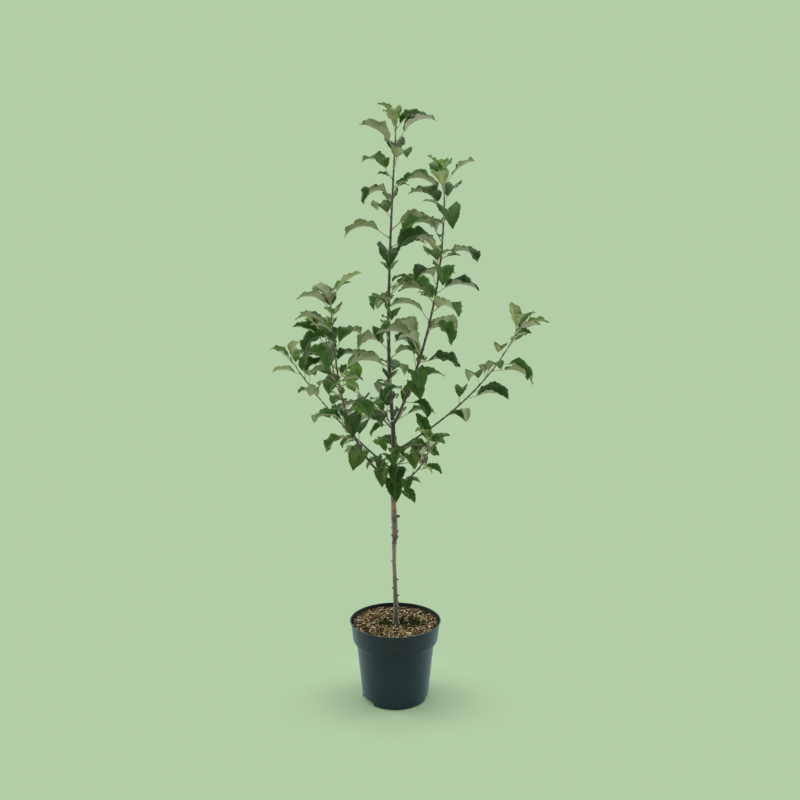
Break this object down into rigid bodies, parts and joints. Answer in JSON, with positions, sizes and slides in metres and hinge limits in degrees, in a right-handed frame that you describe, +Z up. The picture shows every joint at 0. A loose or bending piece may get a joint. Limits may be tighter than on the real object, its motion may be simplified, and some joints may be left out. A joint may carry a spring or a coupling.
{
  "type": "potted gravenstein apple tree",
  "caption": "Young grafted fruit tree in leaf, with a tall leader, rising side boughs and spurs, standing in a round nursery pot filled with bark mulch.",
  "frame": {"origin": "centre of the pot's flat underside", "axes": "+Z up along the trunk, +X to the right of someone who looks at the tree from its front, +Y away from that person"},
  "size_m": [0.5373, 0.3902, 1.1015],
  "materials": {
    "pot_plastic": "dark teal-black satin moulded plastic",
    "bark_mulch": "potting compost under loose tan and brown bark chips",
    "trunk_bark": "smooth grey-beige young bark with a graft swelling and small buds",
    "shoot_bark": "smooth dark purplish-brown shoot bark",
    "foliage": "dark green leaves with pale woolly undersides on thin stems"
  },
  "bodies": {
    "root": {"pot": "pot_plastic", "soil": "bark_mulch", "trunk": "trunk_bark", "leader": "shoot_bark", "right_centre": "shoot_bark", "left_inner": "shoot_bark", "left_outer": "shoot_bark", "left_back": "shoot_bark", "right": "shoot_bark", "right_low": "shoot_bark", "leaves_leader": "foliage", "leaves_right_centre": "foliage", "leaves_left_inner": "foliage", "leaves_left_outer": "foliage", "leaves_left_back": "foliage", "leaves_right": "foliage", "leaves_right_low": "foliage", "leaves_spur_left": "foliage", "leaves_spur_right": "foliage", "leaves_spur_front": "foliage", "leaves_spur_back": "foliage", "leaves_spur_low": "foliage", "leaves_spur_high": "foliage", "leaves_spur_top": "foliage"}
  },
  "joints": []
}
